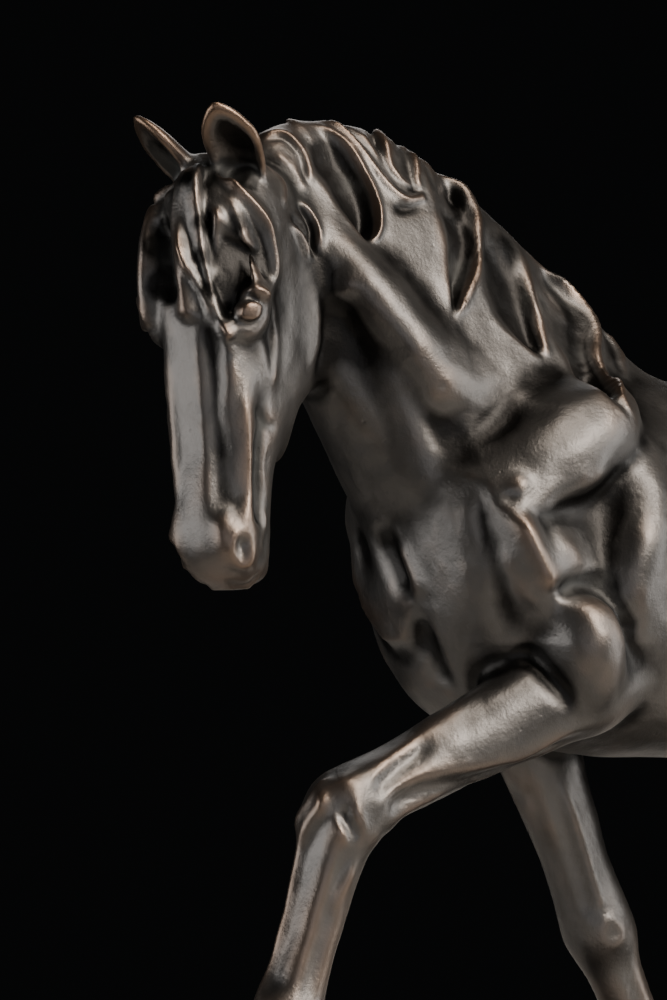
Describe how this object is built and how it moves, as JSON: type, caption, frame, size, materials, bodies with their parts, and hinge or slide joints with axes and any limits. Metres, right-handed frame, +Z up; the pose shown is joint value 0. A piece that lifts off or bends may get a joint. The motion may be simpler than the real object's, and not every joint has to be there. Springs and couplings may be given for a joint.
{
  "type": "horse sculpture",
  "caption": "Cast bronze sculpture of a trotting horse with a raised foreleg, turned head and flowing mane, standing on a low oval base.",
  "frame": {"origin": "middle of the base's flat underside", "axes": "-X the way the horse faces, -Y the horse's left side, +Z up"},
  "size_m": [0.3084, 0.098, 0.2604],
  "materials": {
    "horse_bronze": "dark grey-brown patinated bronze, satin, rubbed warmer on the high spots",
    "base_bronze": "dark grey-brown patinated bronze, satin"
  },
  "bodies": {
    "root": {"horse": "horse_bronze", "base": "base_bronze"}
  },
  "joints": []
}
